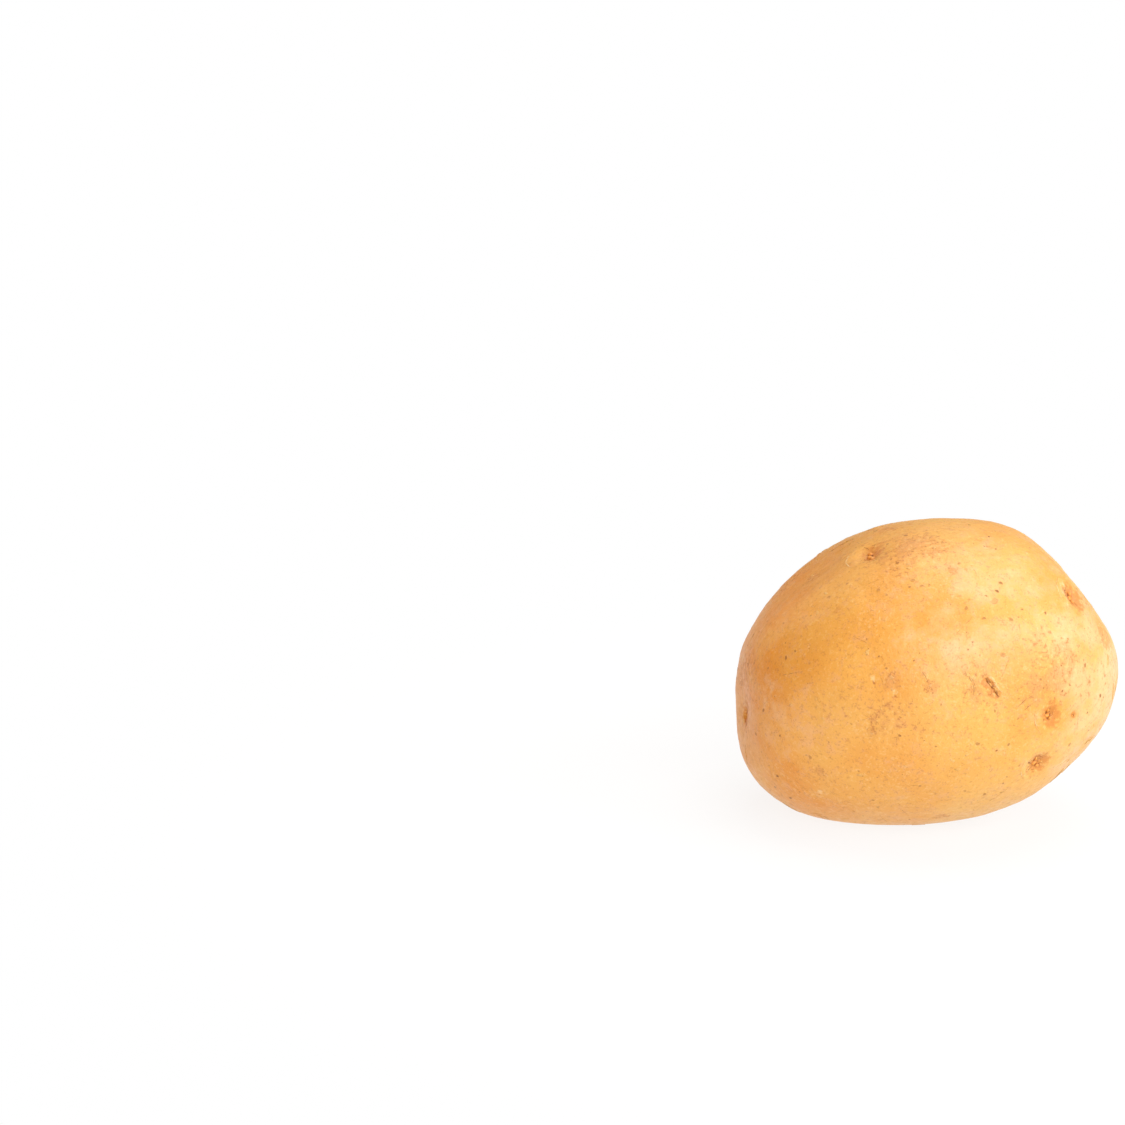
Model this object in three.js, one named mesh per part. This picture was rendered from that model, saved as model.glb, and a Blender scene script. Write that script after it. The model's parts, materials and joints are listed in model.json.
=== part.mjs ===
// A whole table potato, lying on the small flat spot under it.
// Millimetres, +Z up. +X runs from the stem end, where the tuber hung on its plant, to the rose end, where
// the eyes crowd together, and -Y is the front.
// The origin is on the resting surface, under the middle of the tuber's box.
import * as THREE from "three";
import { mergeVertices } from "three/addons/utils/BufferGeometryUtils.js";

// ---- Driving dimensions: millimetres and degrees ----
const LENGTH = 86; // stem end to rose end
const WIDTH = 72; // front to back
const THICKNESS = 67; // belly to crown, before the flat spot is pressed in
const LEAN = 9; // the rose end is carried higher than the stem end
const BLUNTNESS = 2.1; // 2 is a plain ellipsoid, and a higher power has fuller shoulders
const FLATTENED = 2.2; // how much of the underside the flat spot takes away
const FLAT_EDGE = 0.7; // height over which the flat spot rounds into the flank
const FACETS_PER_EDGE = 20; // along each edge of the icosahedron that the skin is spread over

// Places on the skin are two angles about the tuber's long axis: `along` runs from 0 at the stem end to 180
// at the rose end, and `around` is 0 on top, 90 in front, 180 underneath and 270 behind.

// Broad swells and hollows, which make the tuber lopsided. `spread` is an angle, and `rise` is how far the
// skin moves out in the middle.
const SWELLS = [
  { along: 28, around: 176, spread: 28, rise: 5 }, // heavy belly towards the stem end
  { along: 44, around: 0, spread: 24, rise: -3 }, // sloping shoulder above it
  { along: 6, around: 100, spread: 12, rise: -2.5 }, // the sunken stem end
  { along: 158, around: 2, spread: 18, rise: -4 }, // the hollow above the rose end
  { along: 140, around: 175, spread: 24, rise: -1.5 }, // the lighter belly at the rose end
  { along: 70, around: 255, spread: 26, rise: -1.5 }, // flatter flank behind
];

// The eyes, from the stem end to the rose end. Each is pressed in as a shallow bowl of this radius and depth.
const EYES = [
  { along: 7, around: 115, radius: 4, depth: 1.2 }, // not an eye but the scar of the stem
  { along: 46, around: 280, radius: 5, depth: 0.9 },
  { along: 73, around: 15, radius: 6, depth: 1.2 },
  { along: 92, around: 236, radius: 5, depth: 0.9 },
  { along: 100, around: 318, radius: 5, depth: 1 },
  { along: 120, around: 119, radius: 5, depth: 0.9 },
  { along: 126, around: 98, radius: 4, depth: 0.6 },
  { along: 128, around: 270, radius: 4.5, depth: 0.8 },
  { along: 137, around: 196, radius: 4, depth: 0.7 },
  { along: 144, around: 44, radius: 4, depth: 0.9 },
  { along: 152, around: 318, radius: 4, depth: 0.7 },
  { along: 163, around: 232, radius: 3.5, depth: 0.7 },
];

// ---- Directions and profiles ----
const radians = THREE.MathUtils.degToRad;

// The unit vector from the middle of the tuber towards a place on its skin.
function towards(along, around) {
  const girth = Math.sin(radians(along));
  return new THREE.Vector3(
    -Math.cos(radians(along)),
    -girth * Math.sin(radians(around)),
    girth * Math.cos(radians(around)),
  );
}

// 1 in the middle of a hill, falling smoothly to nothing past about twice its spread.
function hill(angle, spread) {
  return Math.exp(-((angle / spread) ** 2));
}

// How far the plain rounded body reaches in a direction.
function bodyReach(direction) {
  const sum =
    Math.abs((2 * direction.x) / LENGTH) ** BLUNTNESS +
    Math.abs((2 * direction.y) / WIDTH) ** BLUNTNESS +
    Math.abs((2 * direction.z) / THICKNESS) ** BLUNTNESS;
  return sum ** (-1 / BLUNTNESS);
}

// The body's reach with the swells added and the eyes pressed in.
function skinReach(direction) {
  const body = bodyReach(direction);
  let reach = body;
  for (const { along, around, spread, rise } of SWELLS) {
    reach += rise * hill(direction.angleTo(towards(along, around)), radians(spread));
  }
  for (const { along, around, radius, depth } of EYES) {
    reach -= depth * hill(direction.angleTo(towards(along, around)) * body, 0.6 * radius);
  }
  return reach;
}

// The larger of height and 0, rounded over `edge` on both sides of 0. All that was lower lies flat on 0.
function settled(height, edge) {
  if (Math.abs(height) >= edge) return Math.max(height, 0);
  return (height + edge) ** 2 / (4 * edge);
}

// ---- The tuber ----
function tuber() {
  const ball = new THREE.IcosahedronGeometry(1, FACETS_PER_EDGE - 1);
  ball.deleteAttribute("normal");
  ball.deleteAttribute("uv");
  const skin = mergeVertices(ball, 1e-5);
  const at = skin.getAttribute("position");
  const point = new THREE.Vector3();
  for (let i = 0; i < at.count; i++) {
    point.fromBufferAttribute(at, i).normalize();
    point.multiplyScalar(skinReach(point));
    at.setXYZ(i, point.x, point.y, point.z);
  }

  // Bring the lopsided body back to its driving dimensions, and lean it.
  skin.computeBoundingBox();
  const size = skin.boundingBox.getSize(new THREE.Vector3());
  skin.scale(LENGTH / size.x, WIDTH / size.y, THICKNESS / size.z);
  skin.rotateY(-radians(LEAN));

  // Stand it over the origin, and press the lowest of its underside flat.
  skin.computeBoundingBox();
  const middle = skin.boundingBox.getCenter(new THREE.Vector3());
  skin.translate(-middle.x, -middle.y, -skin.boundingBox.min.z - FLATTENED);
  for (let i = 0; i < at.count; i++) {
    at.setZ(i, settled(at.getZ(i), FLAT_EDGE));
  }
  skin.computeVertexNormals();
  return skin;
}

const potato = new THREE.Mesh(
  tuber(),
  new THREE.MeshStandardMaterial({ color: 0xdba863, roughness: 0.55, metalness: 0 }),
);
potato.name = "potato";

const part = new THREE.Group();
part.add(potato);

export default part;
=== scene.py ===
# %% [markdown]
# # A table potato
# This lesson dresses one plain potato. The solid that it starts from is fixed: it gives the potato's size,
# its broad shape and the flat spot that it lies on. Everything that the eye enjoys is added here: the eyes
# with their brows, the corky dots that a potato breathes through, the russet film, the thin scuffs and the
# satin skin.
#
# All lengths in the scene are metres. The skin's own details are so small that they are written in
# millimetres.

# %% Load the fixed solid
import json
import math

import bmesh
import bpy
import numpy as np
from mathutils import Matrix, Vector, noise
from mathutils.bvhtree import BVHTree

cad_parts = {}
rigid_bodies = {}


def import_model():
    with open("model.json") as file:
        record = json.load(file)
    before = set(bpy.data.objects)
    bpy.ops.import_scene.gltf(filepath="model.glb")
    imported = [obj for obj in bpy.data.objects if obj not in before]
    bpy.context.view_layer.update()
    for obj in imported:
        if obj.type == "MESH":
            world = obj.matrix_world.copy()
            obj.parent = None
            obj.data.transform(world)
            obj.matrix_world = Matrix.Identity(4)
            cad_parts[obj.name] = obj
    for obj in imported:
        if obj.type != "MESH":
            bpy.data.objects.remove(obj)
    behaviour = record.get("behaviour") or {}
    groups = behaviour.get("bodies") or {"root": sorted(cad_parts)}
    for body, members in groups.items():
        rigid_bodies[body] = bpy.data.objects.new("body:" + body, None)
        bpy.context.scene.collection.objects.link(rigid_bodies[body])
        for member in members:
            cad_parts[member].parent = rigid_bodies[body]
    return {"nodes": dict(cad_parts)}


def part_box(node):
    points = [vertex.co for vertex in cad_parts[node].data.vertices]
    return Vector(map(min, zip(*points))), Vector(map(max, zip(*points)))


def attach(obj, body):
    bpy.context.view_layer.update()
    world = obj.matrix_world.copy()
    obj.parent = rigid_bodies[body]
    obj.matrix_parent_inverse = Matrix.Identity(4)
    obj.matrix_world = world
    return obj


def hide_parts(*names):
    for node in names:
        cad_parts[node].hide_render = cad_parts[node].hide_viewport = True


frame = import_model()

MM = 0.001
scene = bpy.context.scene
plain_tuber = frame["nodes"]["potato"]
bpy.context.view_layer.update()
tuber_low, tuber_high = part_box("potato")
print("the plain tuber measures", [round(side / MM, 1) for side in tuber_high - tuber_low], "mm")

# %% [markdown]
# ## The camera
# A potato is a small thing, so it is looked at from close by, through a long lens that keeps its two ends
# the same size. The camera looks down a little, as a person does at a table. It aims to the left of the
# potato, so the potato sits low at the right of the picture.

# %% Camera
LENS = 85
VIEW_DOWN = math.radians(14)
VIEW_DISTANCE = 0.5914
AIM = Vector((-0.0818, 0, 0.0573))


def turn_towards(thing, place, target):
    """Puts a camera or a lamp at a place and turns it to face its target."""
    thing.location = place
    thing.rotation_euler = (Vector(target) - Vector(place)).to_track_quat("-Z", "Y").to_euler()


camera = bpy.data.objects.new("camera", bpy.data.cameras.new("camera"))
camera.data.lens = LENS
scene.collection.objects.link(camera)
away = Vector((0, -math.cos(VIEW_DOWN), math.sin(VIEW_DOWN)))
turn_towards(camera, AIM + away * VIEW_DISTANCE, AIM)
scene.camera = camera
print("camera at", [round(value, 3) for value in camera.location])

# %% [markdown]
# ## The light
# Food is shown in a white tent: light comes from everywhere, and one side gets more of it. Here the world
# is the tent. It looks white to the camera, but it shines less and more golden from the side away from the
# light. Three soft white panels shape the potato, from the right, the top and the front. Two weak warm
# ones stand behind and at the left, so that the shaded side stays golden. The plain Standard view keeps
# white paper white.

# %% World and panels
TENT_LIT_SIDE = (0.85, 0.10, 0.50)
TENT_LIGHT = (0.44, 0.44, 0.44)
TENT_SHADE = (0.150, 0.085, 0.035)
TENT_BLEND = 0.6


def make_tent():
    """A tent that looks white all over, but shines more from its lit side, and golden from the other."""
    world = bpy.data.worlds.new("white_tent")
    world.use_nodes = True
    nodes, links = world.node_tree.nodes, world.node_tree.links
    towards_light = nodes.new("ShaderNodeVectorMath")
    towards_light.operation = "DOT_PRODUCT"
    towards_light.inputs[1].default_value = TENT_LIT_SIDE
    links.new(nodes.new("ShaderNodeTexCoord").outputs["Generated"], towards_light.inputs[0])
    slope = nodes.new("ShaderNodeMapRange")
    slope.inputs["From Min"].default_value = -TENT_BLEND
    slope.inputs["From Max"].default_value = TENT_BLEND
    links.new(towards_light.outputs["Value"], slope.inputs["Value"])
    shine, seen = (nodes.new("ShaderNodeMix") for _ in range(2))
    shine.data_type = seen.data_type = "RGBA"
    shine.inputs[6].default_value = (*TENT_SHADE, 1)
    shine.inputs[7].default_value = (*TENT_LIGHT, 1)
    seen.inputs[7].default_value = (1, 1, 1, 1)
    links.new(slope.outputs["Result"], shine.inputs[0])
    links.new(shine.outputs[2], seen.inputs[6])
    links.new(nodes.new("ShaderNodeLightPath").outputs["Is Camera Ray"], seen.inputs[0])
    links.new(seen.outputs[2], nodes["Background"].inputs["Color"])
    scene.world = world


def add_panel(name, place, size, watts, colour=(1, 1, 1), target=(0, 0, 0.03)):
    """A square, softly glowing panel that faces the potato."""
    lamp = bpy.data.lights.new(name, "AREA")
    lamp.color = colour
    lamp.size = size
    lamp.energy = watts
    panel = bpy.data.objects.new(name, lamp)
    scene.collection.objects.link(panel)
    turn_towards(panel, place, target)
    return panel


make_tent()
add_panel("panel_right", (0.80, -0.34, 0.46), 0.60, 5.2)
add_panel("panel_top", (0.15, 0.22, 0.95), 0.80, 5.2)
add_panel("panel_front", (0.25, -1.00, 0.48), 0.90, 9.0)
add_panel("panel_behind", (-0.70, 0.75, 0.45), 0.70, 2.0, (1.0, 0.78, 0.55))
add_panel("panel_golden", (-0.60, -0.35, 0.20), 0.45, 0.9, (1.0, 0.52, 0.15))
scene.view_settings.view_transform = "Standard"

# %% [markdown]
# ## The ground
# The potato lies on white paper that is lit from below, as on a light table. Near the potato a small share
# of the paper's white is real, so that it catches a faint contact shadow. Further out it only glows and
# melts into the tent, so there is no horizon from any side.

# %% Paper
PAPER_RADIUS = 3.0
PAPER_REAL_TO = 0.03
PAPER_GLOWS_FROM = 0.20
PAPER_LEAST_GLOW = 0.85


def paper_finish():
    finish = bpy.data.materials.new("white_paper")
    finish.use_nodes = True
    nodes, links = finish.node_tree.nodes, finish.node_tree.links
    nodes.clear()
    out = nodes.new("ShaderNodeOutputMaterial")
    real = nodes.new("ShaderNodeBsdfDiffuse")
    real.inputs["Color"].default_value = (0.93, 0.93, 0.93, 1)
    glow = nodes.new("ShaderNodeEmission")
    where = nodes.new("ShaderNodeTexCoord")
    reach = nodes.new("ShaderNodeVectorMath")
    reach.operation = "LENGTH"
    fade = nodes.new("ShaderNodeMapRange")
    fade.interpolation_type = "SMOOTHSTEP"
    fade.inputs["From Min"].default_value = PAPER_REAL_TO
    fade.inputs["From Max"].default_value = PAPER_GLOWS_FROM
    fade.inputs["To Min"].default_value = PAPER_LEAST_GLOW
    mix = nodes.new("ShaderNodeMixShader")
    links.new(where.outputs["Object"], reach.inputs[0])
    links.new(reach.outputs["Value"], fade.inputs["Value"])
    links.new(fade.outputs["Result"], mix.inputs["Fac"])
    links.new(real.outputs["BSDF"], mix.inputs[1])
    links.new(glow.outputs["Emission"], mix.inputs[2])
    links.new(mix.outputs["Shader"], out.inputs["Surface"])
    return finish


def make_paper():
    build = bmesh.new()
    bmesh.ops.create_circle(build, cap_ends=True, segments=96, radius=PAPER_RADIUS)
    mesh = bpy.data.meshes.new("paper")
    build.to_mesh(mesh)
    build.free()
    paper = bpy.data.objects.new("paper", mesh)
    mesh.materials.append(paper_finish())
    scene.collection.objects.link(paper)
    return paper


paper = make_paper()

# %% [markdown]
# ## The tuber's surface
# The solid's skin is a net of flat triangles, each about two millimetres wide. That is enough for weight
# and collision, but an eye needs finer clay. A copy is merged into one sheet and split twice by
# subdivision, which also rounds the facets off. The result has points less than half a millimetre apart.

# %% Fine clay
def fine_copy(source, levels):
    """A merged, subdivided copy of a mesh, as an object of its own with no modifier left on it."""
    build = bmesh.new()
    build.from_mesh(source.data)
    bmesh.ops.remove_doubles(build, verts=build.verts, dist=0.001 * MM)
    points = [v.co.copy() for v in build.verts]
    faces = [[v.index for v in f.verts] for f in build.faces]
    build.free()
    mesh = bpy.data.meshes.new("tuber_coarse")
    mesh.from_pydata(points, [], faces)
    piece = bpy.data.objects.new("tuber", mesh)
    scene.collection.objects.link(piece)
    smooth = piece.modifiers.new("split", "SUBSURF")
    smooth.levels = smooth.render_levels = levels
    shape = bpy.data.meshes.new_from_object(piece.evaluated_get(bpy.context.evaluated_depsgraph_get()))
    piece.modifiers.clear()
    piece.data = shape
    shape.name = "tuber"
    shape.shade_smooth()
    return piece


tuber = fine_copy(plain_tuber, 2)
print("fine clay:", len(tuber.data.vertices), "points,", len(tuber.data.polygons), "faces")

# %% [markdown]
# ## Finding a place on the skin
# A potato has two ends. The stem end hung on the plant, and the rose end is where the youngest eyes crowd.
# A place on the skin is given by two angles about the line between them: `along` is 0 at the stem end and
# 180 at the rose end, and `around` is 0 on top, 90 in front, 180 below and 270 behind. The tuber leans,
# with its rose end carried high, so the angles lean with it. A ray from the middle then finds the skin.

# %% Places
LEAN = math.radians(9)
MIDDLE_SHARE = 0.488
MIDDLE = Vector((0, 0, MIDDLE_SHARE * tuber_high.z))
lean = Matrix.Rotation(-LEAN, 3, "Y")
skin_tree = BVHTree.FromPolygons(
    [v.co for v in tuber.data.vertices], [p.vertices for p in tuber.data.polygons]
)


def towards(along, around):
    """The direction from the tuber's middle to a place on its skin."""
    along, around = math.radians(along), math.radians(around)
    girth = math.sin(along)
    return lean @ Vector((-math.cos(along), -girth * math.sin(around), girth * math.cos(around)))


def place_on_skin(along, around):
    """The place itself, and three directions: out, towards the stem, and across."""
    spot, out, _, _ = skin_tree.ray_cast(MIDDLE, towards(along, around))
    stem = towards(0, 0)
    stem = (stem - out * stem.dot(out)).normalized()
    return spot, out, stem, out.cross(stem)


def drawn_places(count, seed):
    """This many places, spread by chance over the whole skin. The same seed gives the same places."""
    draw = np.random.default_rng(seed)
    along = np.degrees(np.arccos(draw.uniform(-1, 1, count)))
    return list(zip(along, draw.uniform(0, 360, count)))


print("the stem end is at", [round(value / MM, 1) for value in place_on_skin(0, 0)[0]], "mm")

# %% [markdown]
# ## Working the clay
# From here on the points are an array of numbers in millimetres, because the same small move is made to a
# hundred thousand of them. `Clay` collects how far each point moves out of the skin, and makes all the
# moves at the end. It also paints masks, which are read later: `dark` for dry pits, `warm` for the stained
# skin around them, `pale` for worn ridges, and `cracked` for where small cracks crowd together.
#
# A growing potato is never quite even. Soft noises, one as wide as a thumb and one as wide as a pea, take
# the machine-made look away. Nothing moves where the potato touches the ground.

# %% Clay
def fade(low, high, value):
    """0 below low, 1 above high, and an S-shaped slope between."""
    step = np.clip((value - low) / (high - low), 0, 1)
    return step * step * (3 - 2 * step)


def bell(distance, width):
    """1 in the middle, falling smoothly to nothing at about twice the width."""
    return np.exp(-((distance / width) ** 2))


class Clay:
    """The tuber's points, how far each is to be raised, and the masks that are painted on them."""

    def __init__(self, piece):
        self.mesh = piece.data
        self.points = np.array([v.co for v in self.mesh.vertices]) / MM
        self.out = np.array([n.vector for n in self.mesh.vertex_normals])
        self.rise = np.zeros(len(self.points))
        self.clear = fade(0.4, 5, self.points[:, 2])
        self.masks = {name: np.zeros(len(self.points)) for name in ("dark", "warm", "pale", "cracked")}

    def lumps(self, width, seed, octaves=2, near=slice(None)):
        """Smooth noise between about -1 and 1, with lumps of this width."""
        shift = Vector((seed * 7.3, seed * 3.1, seed * 5.7))
        return np.array([noise.fractal(Vector(p) / width + shift, 1, 2, octaves) for p in self.points[near]])

    def around(self, along, around, reach):
        """For the points within reach of a place: how far each is towards the stem, across, and in all."""
        spot, _, stem, across = place_on_skin(along, around)
        step = self.points - np.array(spot) / MM
        far = np.linalg.norm(step, axis=1)
        near = np.flatnonzero(far < reach)
        return near, step[near] @ np.array(stem), step[near] @ np.array(across), far[near]

    def paint(self, near, **strengths):
        for name, strength in strengths.items():
            self.masks[name][near] += strength

    def keep(self, name, values):
        """Stores a mask on the mesh under a name that shaders and Geometry Nodes can read."""
        attribute = self.mesh.attributes.new(name, "FLOAT", "POINT")
        attribute.data.foreach_set("value", np.clip(values, 0, 1).astype(np.float32))

    def set(self):
        """Makes all the moves at once and keeps the masks."""
        self.points += self.out * (self.rise * self.clear)[:, None]
        self.points[:, 2] = np.maximum(self.points[:, 2], 0)
        self.mesh.vertices.foreach_set("co", (self.points * MM).ravel())
        self.mesh.update()
        for name, values in self.masks.items():
            self.keep(name, values)


clay = Clay(tuber)
clay.rise += 0.42 * clay.lumps(19, 1) + 0.11 * clay.lumps(5.5, 2, 3)
print("unevenness: up to", round(float(np.abs(clay.rise).max()), 2), "mm")

# %% [markdown]
# ## Eyes
# An eye is a bud in the crook of a scale leaf that has long since gone. What is left is a shallow bowl, a
# curved brow on the stem side where the leaf sat, and a pit under the brow. All are hills and hollows with
# the same bell curve. They stand closer together towards the rose end, and no two are alike.

# %% Eye shapes
# Each eye: along, around, its radius in millimetres, and how strongly its brow, its pit and its stain show.
EYES = [
    (46, 280, 5.0, 0.8, 0.8, 0.7),
    (73, 15, 6.2, 0.5, 1.0, 1.0),
    (92, 236, 5.0, 1.0, 1.0, 0.8),
    (100, 318, 5.0, 0.9, 0.9, 0.9),
    (120, 120, 4.8, 0.6, 1.4, 1.5),
    (125, 98, 4.4, 0.5, 1.4, 1.6),
    (134, 103, 2.2, 0.3, 0.8, 0.7),
    (128, 270, 4.5, 0.9, 1.0, 1.0),
    (137, 196, 4.0, 0.8, 0.9, 0.8),
    (144, 44, 5.4, 0.7, 1.6, 2.0),
    (152, 318, 4.0, 0.8, 1.0, 1.0),
    (163, 232, 3.5, 0.8, 1.0, 1.0),
]


def press_eye(along, around, radius, brow, pit, stain):
    near, up, side, far = clay.around(along, around, 3 * radius)
    uneven = 1 + 0.30 * clay.lumps(0.45 * radius, along, 2, near)
    reach = np.hypot(up, 0.85 * side) * uneven
    stem_side = fade(0.1, 0.8, up / np.maximum(np.hypot(up, side), 0.01))
    ridge = bell(reach - 0.66 * radius, 0.12 * radius) * stem_side
    groove = bell(reach - 0.42 * radius, 0.14 * radius) * stem_side
    hollow = bell(np.hypot(up, 0.7 * side) * uneven, 0.27 * radius)
    clay.rise[near] += brow * (0.22 * ridge - 0.22 * groove) - 0.50 * pit * hollow
    clay.paint(
        near,
        pale=0.62 * brow * ridge,
        warm=stain * bell(np.hypot(up + 0.10 * radius, 0.8 * side) * uneven, 0.46 * radius),
        dark=pit * (0.8 * bell(np.hypot(up, 0.5 * side) * uneven, 0.13 * radius) + 0.3 * groove),
        cracked=pit * bell(np.hypot(up, 0.6 * side), 0.26 * radius),
    )


for eye in EYES:
    press_eye(*eye)
print(len(EYES), "eyes pressed")

# %% [markdown]
# ## The stem scar and some nicks
# The potato hung on a thin stem. When that dries and breaks off it leaves a corky collar with a torn pit.
# The skin also has a few nicks, where something sharp opened it while it was young and it healed: a slit
# with one lifted lip. A pock is a knock that healed pale, with a dark pit at its edge.

# %% Scar and nicks
# Each nick: along, around, its turn from the stem's direction, its length and its width in millimetres.
NICKS = [(106, 82, 118, 6.0, 1.8), (58, 330, 35, 4.5, 1.2), (112, 250, 80, 3.5, 1.2)]
POCKS = 6


def press_stem_scar(along, around):
    near, _, _, far = clay.around(along, around, 9)
    collar = bell(far - 2.3, 0.6)
    clay.rise[near] += 0.35 * collar - 0.9 * bell(far, 1.5) + 0.3 * bell(far, 0.5)
    clay.paint(near, dark=0.9 * bell(far, 1.3), warm=0.9 * bell(far, 3.2), pale=0.4 * collar,
               cracked=0.6 * bell(far, 1.8))


def press_nick(along, around, turn, length, width):
    """A slit of this length and width. `turn` is its angle from the stem's direction."""
    near, up, side, _ = clay.around(along, around, length)
    turn = math.radians(turn)
    run = up * math.cos(turn) + side * math.sin(turn)
    off = side * math.cos(turn) - up * math.sin(turn) + 0.10 * width * np.sin(run * 1.9)
    ends = fade(0, 0.45, 1 - np.abs(run) / (length / 2))
    slit = bell(off, 0.26 * width) * ends
    lip = bell(off - 0.55 * width, 0.20 * width) * ends
    clay.rise[near] += 0.16 * lip - 0.40 * slit
    clay.paint(
        near,
        dark=0.12 * bell(off + 0.1 * width, 0.30 * width) * ends,
        warm=2.2 * bell(off + 0.2 * width, 0.48 * width) * ends,
        pale=0.55 * lip,
        cracked=0.5 * bell(off, 0.4 * width) * ends,
    )


def press_pock(along, around):
    near, up, side, far = clay.around(along, around, 4)
    pit = bell(np.hypot(up, side - 0.9), 0.42)
    clay.rise[near] -= 0.10 * bell(far, 0.8) + 0.12 * pit
    clay.paint(near, pale=0.8 * bell(far, 0.65), dark=0.7 * pit, warm=0.8 * pit)


press_stem_scar(7, 122)
for nick in NICKS:
    press_nick(*nick)
for pock in drawn_places(POCKS, seed=23):
    press_pock(*pock)
clay.set()
print("one stem scar,", len(NICKS), "nicks and", POCKS, "pocks")

# %% [markdown]
# ## Where the skin differs
# More masks say where the russet film lies, where the skin is creamy, where it is deep gold, and where the
# small things that are scattered later crowd together. The creamy patches are young, stretched skin, with a
# painted highlight mixed in, strongest on the lit front of the rose end. The stem end is the oldest and
# ripest; its deep gold is partly its own colour and partly painted shade and warm bounce light. A patch is a
# bell curve over the angle from its middle, and noise makes its edge wander. The broad patches are few, so
# each has its own row. Scabs, where the skin was rubbed, are small and fall anywhere, so their places are
# drawn by chance.

# %% Patches
# Each patch: along, around, its spread as an angle, and how strong it is.
RUSSET = [
    (90, 20, 16, 1.0), (70, 90, 13, 0.6), (100, 80, 12, 0.5), (130, 80, 15, 0.7), (150, 30, 12, 0.4),
    (60, 250, 20, 0.9), (110, 290, 18, 0.8), (140, 210, 16, 0.7), (80, 200, 18, 0.6), (10, 60, 16, 0.5),
    (160, 300, 14, 0.6), (40, 330, 14, 0.5),
]
SCABS = 46
SCAB_SPREAD = (1.0, 4.2)
SCAB_STRENGTH = 1.2
# Creamy patches: young skin, and partly a painted highlight; the strongest, at the front of the rose end,
# lies where the light falls.
CREAM_AND_HIGHLIGHT = [
    (92, 60, 18, 0.45), (112, 42, 22, 0.4), (152, 80, 26, 0.85), (140, 130, 16, 0.5), (80, 300, 18, 0.7),
    (130, 240, 16, 0.6), (50, 200, 16, 0.5), (32, 90, 12, 0.4),
]
# Deep gold patches at the stem end: partly the ripe skin's own colour, partly painted shade and warm bounce
# light.
RIPE_AND_SHADE = [
    (43, 4, 19, 1.0), (22, 60, 18, 0.8), (38, 130, 20, 0.6), (63, 106, 9, 0.4), (30, 220, 30, 0.8),
    (60, 290, 22, 0.6),
]
heading = clay.points * MM - np.array(MIDDLE)
heading /= np.linalg.norm(heading, axis=1)[:, None]


def soft_patches(patches, seed):
    mask = np.zeros(len(heading))
    for along, around, spread, strength in patches:
        angle = np.degrees(np.arccos(np.clip(heading @ np.array(towards(along, around)), -1, 1)))
        mask += strength * bell(angle, spread)
    return np.clip(mask * (1 + 0.9 * clay.lumps(8, seed, 4)), 0, 1)


def drawn_scabs(seed):
    """Scabs as patches: most are small, a few are broad."""
    sizes = np.linspace(0, 1, SCABS) ** 2
    small, broad = SCAB_SPREAD
    places = zip(drawn_places(SCABS, seed), sizes)
    return [(*place, small + (broad - small) * size, SCAB_STRENGTH) for place, size in places]


russet = soft_patches(RUSSET, 3) + soft_patches(drawn_scabs(19), 7)
clay.keep("russet", russet)
# The cream mask: young skin, and a painted highlight on the lit side.
clay.keep("cream", soft_patches(CREAM_AND_HIGHLIGHT, 4))
from_stem = np.degrees(np.arccos(np.clip(heading @ np.array(towards(0, 0)), -1, 1)))
# The ripe mask: the stem end's own deeper colour, and painted shade and warm bounce light there.
clay.keep("ripe", soft_patches(RIPE_AND_SHADE, 8))
crowded = 0.15 + 0.6 * fade(-0.1, 0.5, clay.lumps(12, 5)) + 0.4 * fade(90, 130, from_stem)
clay.keep("dotty", clay.clear * crowded)
clay.keep("scurfy", clay.clear * (0.02 + fade(0.25, 0.8, russet) + 0.25 * fade(0.2, 0.6, clay.lumps(10, 6))))
print("masks:", [a.name for a in tuber.data.attributes if a.data_type == "FLOAT"])

# %% [markdown]
# ## Shader maths as plain sums
# A finish is a tree of nodes, and its sums are easier to read as `1 - mask` than as a drawing. `Flow`
# wraps one socket. Adding, multiplying or subtracting flows adds the Math nodes behind the scenes. Colours
# and directions go through Mix and Vector Math nodes instead, because a Math node would turn a colour
# grey.

# %% Flow
class Flow:
    """What comes out of one socket of a shader tree."""

    def __init__(self, finish, socket):
        self.finish, self.socket = finish, socket

    def math(self, operation, first, second):
        return self.finish.node("ShaderNodeMath", {"operation": operation}, {0: first, 1: second})

    def __add__(self, other):
        return self.math("ADD", self, other)

    def __sub__(self, other):
        return self.math("SUBTRACT", self, other)

    def __mul__(self, other):
        return self.math("MULTIPLY", self, other)

    def __radd__(self, other):
        return self.math("ADD", other, self)

    def __rsub__(self, other):
        return self.math("SUBTRACT", other, self)

    def __rmul__(self, other):
        return self.math("MULTIPLY", other, self)


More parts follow.
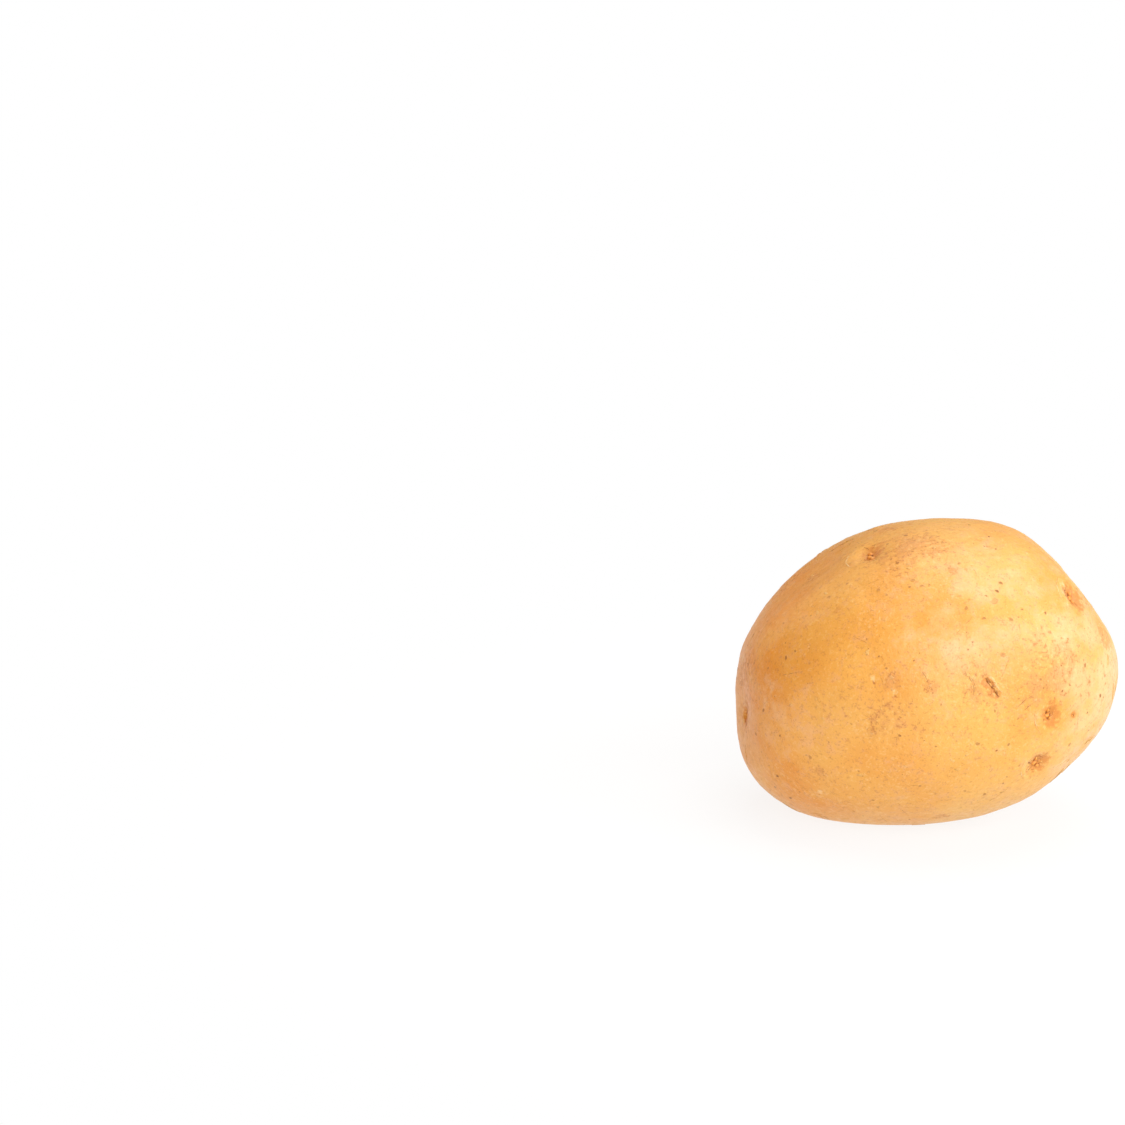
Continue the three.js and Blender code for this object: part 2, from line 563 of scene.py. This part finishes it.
class Finish:
    """One material, and the few kinds of node that it is made of."""

    def __init__(self, name):
        self.material = bpy.data.materials.new(name)
        self.material.use_nodes = True
        self.tree = self.material.node_tree
        self.shader = self.tree.nodes["Principled BSDF"]

    def feed(self, socket, value):
        """Links a flow to a socket, or sets the socket to a plain value."""
        if isinstance(value, Flow):
            self.tree.links.new(value.socket, socket)
        elif socket.type == "RGBA":
            socket.default_value = (*value, 1)
        else:
            socket.default_value = value

    def node(self, kind, settings, values, output=0):
        """Any node: its settings first, then the values or flows of its sockets."""
        made = self.tree.nodes.new(kind)
        for name, value in settings.items():
            setattr(made, name, value)
        for key, value in values.items():
            self.feed(made.inputs[key], value)
        return Flow(self, made.outputs[output])

    def mask(self, name):
        return self.node("ShaderNodeAttribute", {"attribute_name": name}, {}, "Fac")

    def slope(self, value, low, high):
        """0 at low, 1 at high, and an S-shaped slope between. Low may be above high."""
        ends = {"Value": value, "From Min": min(low, high), "From Max": max(low, high),
                "To Min": float(low > high), "To Max": float(low < high)}
        return self.node("ShaderNodeMapRange", {"interpolation_type": "SMOOTHSTEP"}, ends)

    def mix(self, factor, first, second):
        return self.node("ShaderNodeMix", {"data_type": "RGBA"}, {0: factor, 6: first, 7: second}, 2)

    def noise(self, place, width, detail=2.0, roughness=0.5):
        """Soft noise around 0, seldom beyond -1 and 1, whose lumps are this many millimetres wide."""
        values = {"Vector": place, "Scale": 1 / width, "Detail": detail, "Roughness": roughness}
        return 4 * (self.node("ShaderNodeTexNoise", {}, values, "Fac") - 0.5)

    def cells(self, place, width, feature):
        """Distances inside a froth of cells that are this many millimetres wide, in cell widths."""
        return self.node("ShaderNodeTexVoronoi", {"feature": feature}, {"Vector": place, "Scale": 1 / width},
                         "Distance")

    def move(self, operation, first, second):
        return self.node("ShaderNodeVectorMath", {"operation": operation}, {0: first, 1: second})

    def wander(self, place, width, reach):
        """The same place, pushed about by noise, so that what is drawn on it wanders."""
        push = self.node("ShaderNodeTexNoise", {}, {"Vector": place, "Scale": 1 / width}, "Color")
        centred = self.move("SUBTRACT", push, (0.5, 0.5, 0.5))
        return self.move("ADD", place, self.move("MULTIPLY", centred, (2 * reach,) * 3))


# %% [markdown]
# ## The skin's finish
# A yellow potato is not one colour. Under everything lies golden skin, creamier where it is young and
# stretched, with a painted highlight mixed into the cream on the lit side, and deeper gold at the stem end,
# partly its own ripe colour and partly painted shade and warm bounce light. Over it comes a thin corky film,
# the russet, which breaks up into grains and fine nets at its edges. Then come the small events: speckle,
# pores, pale scurf, and the stained skin around the eyes. Each has its own size in millimetres, and each also
# changes how rough and how high the skin is there.
#
# Small things that stick out of the skin are meshes of their own. They wear the same finish, so that their
# edges vanish into the skin, with one more layer on top, which their own mask `lens` shows.

# %% Skin colours and finish
GOLD = (0.775, 0.400, 0.082)
DEEP_GOLD = (0.745, 0.345, 0.060)
# RIPE_GOLD_AND_SHADE: the ripe skin's colour, made darker and more orange as painted shade and bounce light.
RIPE_GOLD_AND_SHADE = (0.720, 0.265, 0.016)
# CREAM_SKIN_AND_HIGHLIGHT: young skin's colour, made paler and whiter as a painted highlight.
CREAM_SKIN_AND_HIGHLIGHT = (0.820, 0.550, 0.295)
RUSSET_FILM = (0.620, 0.260, 0.060)
RUSSET_GRAIN = (0.450, 0.170, 0.032)
STAIN = (0.590, 0.200, 0.028)
DRY_BUD = (0.210, 0.048, 0.010)
WORN = (0.870, 0.610, 0.285)
PORE = (0.340, 0.125, 0.022)
ROSY_TAN = (0.750, 0.375, 0.150)


def plain_skin(f, colour, rough):
    return colour, rough


def potato_skin(name, top_layer=plain_skin):
    f = Finish(name)
    where = f.node("ShaderNodeTexCoord", {}, {}, "Object")
    place = f.node("ShaderNodeMapping", {}, {"Vector": where, "Scale": (1 / MM, 1 / MM, 1 / MM)})
    loose = f.wander(place, 5.0, 1.5)

    broad = f.noise(place, 20, 1)
    mottle = f.noise(loose, 4.0, 3, 0.6)
    speckle = f.noise(place, 1.1, 3, 0.65)
    grain = f.noise(place, 0.40, 1)

    colour = f.mix(f.slope(broad, -0.5, 0.5), DEEP_GOLD, GOLD)
    # Deep gold at the stem end: ripe skin, and painted shade with warm bounce light.
    colour = f.mix(0.82 * f.mask("ripe"), colour, RIPE_GOLD_AND_SHADE)
    # Cream: young skin, and partly a painted highlight.
    young_and_lit = f.slope(f.mask("cream") + 0.40 * mottle + 0.20 * speckle, 0.05, 1.1)
    colour = f.mix(0.62 * young_and_lit, colour, CREAM_SKIN_AND_HIGHLIGHT)
    tan = f.slope(mottle + 0.9 * speckle, 0.0, 0.80)
    colour = f.mix(0.36 * tan, colour, ROSY_TAN)
    film = f.slope(f.mask("russet") * (1 + 0.8 * mottle + 0.8 * speckle), 0.20, 0.90)
    colour = f.mix(0.55 * film, colour, RUSSET_FILM)

    brown_grains = f.slope(speckle + 0.7 * grain, 0.22, 0.90)
    colour = f.mix(brown_grains * (0.38 + 0.28 * film), colour, RUSSET_GRAIN)
    pale_grains = f.slope(speckle + 0.5 * grain, -0.25, -0.90)
    colour = f.mix(0.24 * pale_grains, colour, WORN)
    net = f.slope(f.cells(f.wander(place, 2.4, 1.0), 1.8, "DISTANCE_TO_EDGE"), 0.09, 0.02)
    net = net * f.slope(f.noise(place, 6), 0.05, 0.55) * (0.25 + 0.75 * film)
    colour = f.mix(0.32 * net, colour, RUSSET_GRAIN)

    scurf = f.slope(f.noise(f.wander(place, 1.2, 0.5), 0.9, 3, 0.6), 0.20, 0.55)
    scurf = scurf * f.slope(f.noise(place, 7), 0.05, 0.55)
    colour = f.mix(0.24 * scurf, colour, WORN)
    ticks = f.slope(f.cells(f.wander(place, 0.9, 0.5), 2.3, "F1"), 0.15, 0.06)
    ticks = ticks * f.slope(f.noise(place, 4.5), 0.0, 0.55)
    colour = f.mix(0.75 * ticks, colour, PORE)

    stain = f.slope(f.mask("warm") * (1 + 1.2 * speckle), 0.12, 0.85)
    colour = f.mix(0.75 * stain, colour, STAIN)
    worn = f.slope(f.mask("pale") * (1 + 1.1 * speckle), 0.18, 0.60)
    colour = f.mix(0.60 * worn, colour, WORN)
    crust = f.slope(f.mask("dark") * (1 + 1.1 * f.noise(place, 0.7, 2, 0.6)), 0.30, 0.70)
    colour = f.mix(0.90 * crust, colour, DRY_BUD)
    rough = 0.42 + 0.12 * film + 0.10 * speckle + 0.20 * crust + 0.10 * scurf
    colour, rough = top_layer(f, colour, rough)

    height = 0.012 * grain + 0.045 * f.noise(place, 2.0, 3, 0.6) + 0.030 * film * speckle
    height = height + 0.020 * net + 0.030 * scurf - 0.030 * ticks + 0.10 * crust * speckle
    f.feed(f.shader.inputs["Normal"], f.node("ShaderNodeBump", {}, {"Distance": MM, "Height": height}))
    f.feed(f.shader.inputs["Base Color"], colour)
    f.feed(f.shader.inputs["Roughness"], rough)
    f.shader.inputs["Subsurface Weight"].default_value = 0.08
    f.shader.inputs["Subsurface Radius"].default_value = (1.0, 0.40, 0.12)
    f.shader.inputs["Subsurface Scale"].default_value = 2.0 * MM
    f.shader.inputs["Specular IOR Level"].default_value = 0.50
    return f.material


skin = potato_skin("potato_skin")
tuber.data.materials.append(skin)
print("skin finish:", len(skin.node_tree.nodes), "nodes")

# %% [markdown]
# ## Small things on the skin
# All over the skin sit lenticels, the corky dots that a potato breathes through, each up to a millimetre
# wide with a dark sunken middle. Thin flakes of scurf lift off the russet, and fine scuffs have healed as
# raised hairlines. Shorter hairlines crack the eyes. All four repeat by the hundred over a curved surface,
# so Geometry Nodes set them out.
#
# One of each is modelled flat first, as a stack of loops closed at both ends. Its height is also kept as an
# attribute, `lift`, so that the tree can later lay it exactly on the curved skin.

# %% Templates
def closed_loops(name, loops):
    """A closed form through loops of (x, y, lift, lens) points. All loops have the same number of points."""
    build = bmesh.new()
    lens, lift = (build.verts.layers.float.new(layer) for layer in ("lens", "lift"))
    rows = []
    for loop in loops:
        row = []
        for x, y, height, mask in loop:
            v = build.verts.new((x * MM, y * MM, height * MM))
            v[lens], v[lift] = mask, height
            row.append(v)
        rows.append(row)
    count = len(rows[0])
    for lower, upper in zip(rows, rows[1:]):
        for k in range(count):
            n = (k + 1) % count
            build.faces.new((lower[k], lower[n], upper[n], upper[k]))
    build.faces.new(rows[0][::-1])
    build.faces.new(rows[-1])
    bmesh.ops.recalc_face_normals(build, faces=build.faces)
    mesh = bpy.data.meshes.new(name)
    build.to_mesh(mesh)
    build.free()
    mesh.shade_smooth()
    return bpy.data.objects.new(name, mesh)


def ring(radius, height, mask, sides, wobble, turn=0.0, curl=0.0):
    """One uneven round loop. `curl` lifts its far side."""
    loop = []
    for k in range(sides):
        angle = 2 * math.pi * k / sides
        reach = radius * (1 + wobble * (0.6 * math.sin(2 * angle + turn) + 0.4 * math.sin(3 * angle - turn)))
        x, y = reach * math.cos(angle), reach * math.sin(angle)
        loop.append((x, y, height + curl * max(x, 0) ** 2, mask))
    return loop


def lenticel(turn):
    profile = [(1.0, -0.08, 0), (0.80, 0.05, 0.3), (0.52, 0.06, 0.7), (0.25, 0.01, 1)]
    return closed_loops("lenticel", [ring(r, h, m, 9, 0.34, turn + r) for r, h, m in profile])


def flake(turn):
    profile = [(0.9, -0.12, 0.5), (1.0, 0.01, 1), (0.5, 0.03, 1)]
    return closed_loops("flake", [ring(r, h, m, 7, 0.60, turn, 0.06) for r, h, m in profile])


def hairline(name, bow, half, steps=8):
    """A thin ridge, one unit long and a little bowed, with tapered ends and a three-sided section."""
    loops = []
    for step in range(steps + 1):
        run = 2 * step / steps - 1
        width = half * (1.04 - run ** 4) * (1 + 0.3 * math.sin(7 * run))
        y = bow * (1 - run * run) + 0.010 * math.sin(6 * run)
        loops.append([(run / 2, y - width, -0.5 * half, 0.4), (run / 2, y + width, -0.5 * half, 0.4),
                      (run / 2, y, 0.65 * half, 1)])
    return closed_loops(name, loops)


def template_set(name, variants):
    group = bpy.data.collections.new(name)
    for variant in variants:
        group.objects.link(variant)
    return group


lenticel_set = template_set("lenticel_set", [lenticel(turn) for turn in (0.0, 1.3, 2.6, 4.1)])
flake_set = template_set("flake_set", [flake(turn) for turn in (0.4, 1.9, 3.5, 5.0)])
scuff_set = template_set("scuff_set", [hairline("scuff", bow, 0.020) for bow in (0.01, 0.04, -0.02)])
crack_set = template_set("crack_set", [hairline("crack", bow, 0.075) for bow in (0.05, 0.16, -0.10)])

# %% [markdown]
# ## The scatter tree
# The tree scatters points that keep their distance and crowd where a mask says so. It sets a template on
# each, turned and sized by chance, with small ones far commoner than large ones. Then it makes the copies
# real and lays every point on the skin: the nearest place on the skin, plus the point's own lift. It also
# copies the skin's masks onto them, so that the shared finish has the same colours at their edges.

# %% Scatter tree
SKIN_MASKS = ("dark", "warm", "pale", "russet", "cream", "ripe")


class Tree:
    """A Geometry Nodes tree, with one method that adds any node."""

    def __init__(self, name, inputs):
        self.tree = bpy.data.node_groups.new(name, "GeometryNodeTree")
        for label, kind in inputs:
            self.tree.interface.new_socket(label, in_out="INPUT", socket_type="NodeSocket" + kind)
        self.tree.interface.new_socket("Copies", in_out="OUTPUT", socket_type="NodeSocketGeometry")
        self.given = self.tree.nodes.new("NodeGroupInput").outputs
        self.result = self.tree.nodes.new("NodeGroupOutput").inputs

    def add(self, kind, settings, inputs):
        """Adds a node and returns its first output that is in use."""
        made = self.tree.nodes.new(kind)
        for key, value in settings.items():
            setattr(made, key, value)
        for key, value in inputs.items():
            socket = next(s for s in made.inputs if s.name == key and s.enabled)
            if isinstance(value, bpy.types.NodeSocket):
                self.tree.links.new(value, socket)
            else:
                socket.default_value = value
        return next(s for s in made.outputs if s.enabled)

    def chance(self, low, high, seed):
        return self.add("FunctionNodeRandomValue", {"data_type": "FLOAT"},
                        {"Min": low, "Max": high, "Seed": seed})

    def sum(self, operation, first, second):
        node = self.tree.nodes.new("ShaderNodeMath")
        node.operation = operation
        for socket, value in zip(node.inputs, (first, second)):
            if isinstance(value, bpy.types.NodeSocket):
                self.tree.links.new(value, socket)
            else:
                socket.default_value = value
        return node.outputs[0]

    def named(self, name):
        return self.add("GeometryNodeInputNamedAttribute", {"data_type": "FLOAT"}, {"Name": name})

    def nearest(self, surface, value, kind):
        return self.add("GeometryNodeSampleNearestSurface", {"data_type": kind},
                        {"Mesh": surface, "Value": value})

    def store(self, geometry, name, value, domain="POINT"):
        return self.add("GeometryNodeStoreNamedAttribute", {"data_type": "FLOAT", "domain": domain},
                        {"Geometry": geometry, "Name": name, "Value": value})


def scatter_tree(name, templates, material):
    t = Tree(name, [("Surface", "Geometry"), ("Spacing", "Float"), ("Density", "Float"),
                    ("Smallest", "Float"), ("Largest", "Float"), ("Seed", "Int"), ("Mask", "String")])
    surface = t.given["Surface"]
    spread = t.tree.nodes.new("GeometryNodeDistributePointsOnFaces")
    spread.distribute_method = "POISSON"
    for socket, value in (("Mesh", surface), ("Distance Min", t.given["Spacing"]), ("Seed", t.given["Seed"]),
                          ("Density Max", t.given["Density"]), ("Density Factor", t.named(t.given["Mask"]))):
        t.tree.links.new(value, spread.inputs[socket])

    one_turn = t.chance(0.0, 2 * math.pi, 1)
    spin = t.add("FunctionNodeAxisAngleToRotation", {}, {"Axis": (0, 0, 1), "Angle": one_turn})
    turned = t.add("FunctionNodeRotateRotation", {"rotation_space": "LOCAL"},
                   {"Rotation": spread.outputs["Rotation"], "Rotate By": spin})
    luck = t.sum("POWER", t.chance(0.0, 1.0, 2), 2.5)
    size = t.sum("ADD", t.given["Smallest"],
                 t.sum("MULTIPLY", luck, t.sum("SUBTRACT", t.given["Largest"], t.given["Smallest"])))
    choice = t.add("FunctionNodeRandomValue", {"data_type": "INT"},
                   {"Min": 0, "Max": len(templates.objects) - 1, "Seed": 4})
    forms = t.add("GeometryNodeCollectionInfo", {},
                  {"Collection": templates, "Separate Children": True, "Reset Children": True})
    copies = t.add("GeometryNodeInstanceOnPoints", {}, {
        "Points": spread.outputs["Points"], "Instance": forms, "Pick Instance": True,
        "Instance Index": choice, "Rotation": turned, "Scale": size})
    copies = t.store(copies, "tone", t.chance(0.0, 1.0, 3), "INSTANCE")
    copies = t.store(copies, "size", size, "INSTANCE")
    real = t.add("GeometryNodeRealizeInstances", {}, {"Geometry": copies})

    for mask in SKIN_MASKS:
        real = t.store(real, mask, t.nearest(surface, t.named(mask), "FLOAT"))
    place = t.nearest(surface, t.add("GeometryNodeInputPosition", {}, {}), "FLOAT_VECTOR")
    normal = t.nearest(surface, t.add("GeometryNodeInputNormal", {}, {}), "FLOAT_VECTOR")
    height = t.sum("MULTIPLY", t.sum("MULTIPLY", t.named("lift"), t.named("size")), MM)
    offset = t.add("ShaderNodeVectorMath", {"operation": "SCALE"}, {"Vector": normal, "Scale": height})
    laid = t.add("GeometryNodeSetPosition", {}, {"Geometry": real, "Position": place, "Offset": offset})
    dressed = t.add("GeometryNodeSetMaterial", {}, {"Geometry": laid, "Material": material})
    t.tree.links.new(dressed, t.result["Copies"])
    return t.tree


def scatter(name, templates, material, **inputs):
    """Runs the tree on the tuber and keeps what it makes as one plain mesh."""
    tree = scatter_tree(name, templates, material)
    holder = bpy.data.objects.new(name, tuber.data.copy())
    scene.collection.objects.link(holder)
    made = holder.modifiers.new(name, "NODES")
    made.node_group = tree
    sockets = {s.name: s.identifier for s in tree.interface.items_tree if s.in_out == "INPUT"}
    for label, value in inputs.items():
        made[sockets[label.capitalize()]] = value
    shape = bpy.data.meshes.new_from_object(holder.evaluated_get(bpy.context.evaluated_depsgraph_get()))
    holder.modifiers.clear()
    holder.data = shape
    shape.name = name
    print(name + ":", len(shape.polygons), "faces")
    return holder


# %% [markdown]
# ## Dots, flakes and hairlines
# Each kind has its own top layer over the shared skin. A lenticel has a pale corky rim and a brown middle,
# darker in some than in others. A flake is dry and pale. A scuff is brown along its ridge. The same
# hairlines, shorter and dark red-brown, crowd together in the eyes as cracks.

# %% Scatter them
PORE_MIDDLE = (0.290, 0.095, 0.014)


def corky_dot(f, colour, rough):
    lens, tone = f.mask("lens"), f.mask("tone")
    colour = f.mix(0.40 * f.slope(lens, 0.05, 0.5), colour, RUSSET_FILM)
    colour = f.mix((0.25 + 0.65 * tone) * f.slope(lens, 0.35, 0.85), colour, PORE_MIDDLE)
    return colour, rough + 0.15 * lens


def dry_flake(f, colour, rough):
    lens, tone = f.mask("lens"), f.mask("tone")
    return f.mix(lens * (0.06 + 0.34 * tone), colour, WORN), rough + 0.2 * lens


def healed_line(f, colour, rough):
    place = f.node("ShaderNodeTexCoord", {}, {}, "Object")
    broken = f.slope(f.noise(place, 0.9 * MM, 2), -0.50, 0.20)
    return f.mix(f.mask("lens") * broken * (0.50 + 0.50 * f.mask("tone")), colour, PORE), rough


def dry_crack(f, colour, rough):
    lens, tone = f.mask("lens"), f.mask("tone")
    return f.mix(lens * (0.15 + 0.85 * tone), colour, DRY_BUD), rough + 0.2 * lens


dots = scatter("lenticels", lenticel_set, potato_skin("lenticel_skin", corky_dot), spacing=1.6 * MM,
               density=6.5e4, smallest=0.18, largest=0.70, seed=5, mask="dotty")
flakes = scatter("scurf_flakes", flake_set, potato_skin("flake_skin", dry_flake), spacing=0.7 * MM,
                 density=1.1e5, smallest=0.18, largest=0.60, seed=8, mask="scurfy")
scuffs = scatter("scuffs", scuff_set, potato_skin("scuff_skin", healed_line), spacing=2 * MM,
                 density=4.5e4, smallest=0.9, largest=5.5, seed=11, mask="dotty")
cracks = scatter("eye_cracks", crack_set, potato_skin("crack_skin", dry_crack), spacing=0.30 * MM,
                 density=2.6e6, smallest=0.5, largest=1.7, seed=14, mask="cracked")

# %% [markdown]
# ## Buds in the eyes
# Under each brow sit three tiny buds, tight cones of scale leaves that would become sprouts. They are too
# few to scatter, so a loop sets the same three places in every eye: small uneven cones that lean under the
# brow.

# %% Buds
BUD_LEAF = (0.740, 0.310, 0.045)
# Each bud: how far towards the stem and across, in eye radii, and its size beside the middle one.
BUD_PLACES = [(0.02, 0.03, 1.0), (-0.05, 0.21, 0.7), (-0.02, -0.19, 0.75)]


def bud_form(turn):
    profile = [(1.0, -0.7, 0), (0.95, 0.05, 0.2), (0.72, 0.42, 0.5), (0.40, 0.66, 0.8), (0.12, 0.78, 1)]
    return closed_loops("bud", [ring(r, h, m, 10, 0.30, turn) for r, h, m in profile])


def piece_from(build, name, material):
    """Turns a finished bmesh into one smooth piece with one material."""
    mesh = bpy.data.meshes.new(name)
    build.to_mesh(mesh)
    build.free()
    mesh.shade_smooth()
    mesh.materials.append(material)
    piece = bpy.data.objects.new(name, mesh)
    scene.collection.objects.link(piece)
    print(name + ":", len(mesh.polygons), "faces")
    return piece


def grow_buds():
    build = bmesh.new()
    for number, (along, around, radius, _, pit, _) in enumerate(EYES):
        spot, out, stem, across = place_on_skin(along, around)
        for place, (up, side, size) in enumerate(BUD_PLACES):
            guess = spot + (stem * up + across * side) * radius * MM
            seat = worked_skin.find_nearest(guess)[0]
            scale = 0.145 * radius * size * (0.8 + 0.2 * pit)
            form = bud_form(number + 2.1 * place).data
            lean_in = (out + 0.35 * stem).normalized()
            frame_of_bud = Matrix((across, out.cross(across), lean_in)).transposed().to_4x4()
            form.transform(Matrix.Translation(seat) @ frame_of_bud @ Matrix.Scale(scale, 4))
            build.from_mesh(form)
    return piece_from(build, "buds", potato_skin("bud_skin", bud_scale))


def bud_scale(f, colour, rough):
    tip = f.mask("lens")
    colour = f.mix(f.slope(tip, 0.30, 0.0), f.mix(0.8, colour, STAIN), DRY_BUD)
    return f.mix(0.8 * f.slope(tip, 0.25, 0.8), colour, BUD_LEAF), rough + 0.1


worked_skin = BVHTree.FromPolygons([v.co for v in tuber.data.vertices],
                                   [p.vertices for p in tuber.data.polygons])
buds = grow_buds()

# %% [markdown]
# ## Slits, brows and scrapes
# Three kinds of longer line lie on the skin. Each nick has a dark slit with a pale healed line beside it,
# and each eye's brow has a thin pale edge, so both are laid where the nick or the eye already is. Scrapes
# from stones and from the other potatoes can fall anywhere. They come in little sets that run side by
# side, so a loop draws the sets by chance. Every line is one hairline, stretched, turned and pressed onto
# the skin point by point.

# %% Scratches
SCRAPE_SETS = 34
PALE, BROWN = 0.0, 1.0
SCRATCH_STEPS = 20
SCRATCH_LIFT = 0.02 * MM
SCRATCH_BROWN = (0.290, 0.085, 0.014)


def lay_scratch(build, along, around, turn, length, bow, half, tone, up=0.0, aside=0.0):
    """Lays one hairline. `up` and `aside` move it by millimetres, towards the stem and sideways to itself."""
    spot, _, stem, across = place_on_skin(along, around)
    turn = math.radians(turn)
    run = stem * math.cos(turn) + across * math.sin(turn)
    off = across * math.cos(turn) - stem * math.sin(turn)
    spot = spot + (stem * up + off * aside) * MM
    form = hairline("scratch", bow, half, SCRATCH_STEPS).data
    for v in form.vertices:
        seat, normal, _, _ = worked_skin.find_nearest(spot + (run * v.co.x + off * v.co.y) * length)
        v.co = seat + normal * (v.co.z * length + SCRATCH_LIFT)
    form.attributes.new("tone", "FLOAT", "POINT").data.foreach_set("value", [tone] * len(form.vertices))
    build.from_mesh(form)


def lay_nick_lines(build):
    for along, around, turn, length, width in NICKS:
        lay_scratch(build, along, around, turn, 0.85 * length, 0.03, 0.040, BROWN)
        lay_scratch(build, along, around, turn, 0.75 * length, -0.03, 0.020, PALE, aside=0.55 * width)


def lay_brow_lines(build):
    for along, around, radius, brow, _, _ in EYES:
        if brow >= 0.5:
            lay_scratch(build, along, around, 90, 1.15 * radius, -0.16, 0.022, PALE, up=0.70 * radius)


def lay_scrapes(build, seed):
    draw = np.random.default_rng(seed)
    for along, around in drawn_places(SCRAPE_SETS, seed):
        turn, bow = draw.uniform(0, 180), draw.uniform(-0.16, 0.16)
        length, width = draw.uniform(1.6, 6.0), draw.uniform(0.06, 0.12)
        for side_by_side in range(draw.integers(1, 4)):
            lay_scratch(build, along, around, turn + draw.uniform(-6, 6), length, bow, width / length,
                        draw.uniform(0.5, 1.0), up=draw.uniform(-1, 1), aside=0.9 * side_by_side)
            length *= 0.8


def dry_line(f, colour, rough):
    place = f.node("ShaderNodeTexCoord", {}, {}, "Object")
    broken = f.slope(f.noise(place, 0.7 * MM, 2), -0.60, 0.10)
    line = f.mix(f.mask("tone"), WORN, SCRATCH_BROWN)
    return f.mix((0.40 + 0.45 * f.mask("lens")) * broken, colour, line), rough


lines = bmesh.new()
lay_nick_lines(lines)
lay_brow_lines(lines)
lay_scrapes(lines, seed=31)
scratches = piece_from(lines, "scratches", potato_skin("scratch_skin", dry_line))

# %% [markdown]
# ## Handing over
# Each new piece rides with the potato's one body. The tuber stands for the plain solid, which stays for
# weight and collision but isn't seen.

# %% Ride and replace
for piece in (tuber, dots, flakes, scuffs, cracks, buds, scratches):
    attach(piece, "root")
    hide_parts("potato")
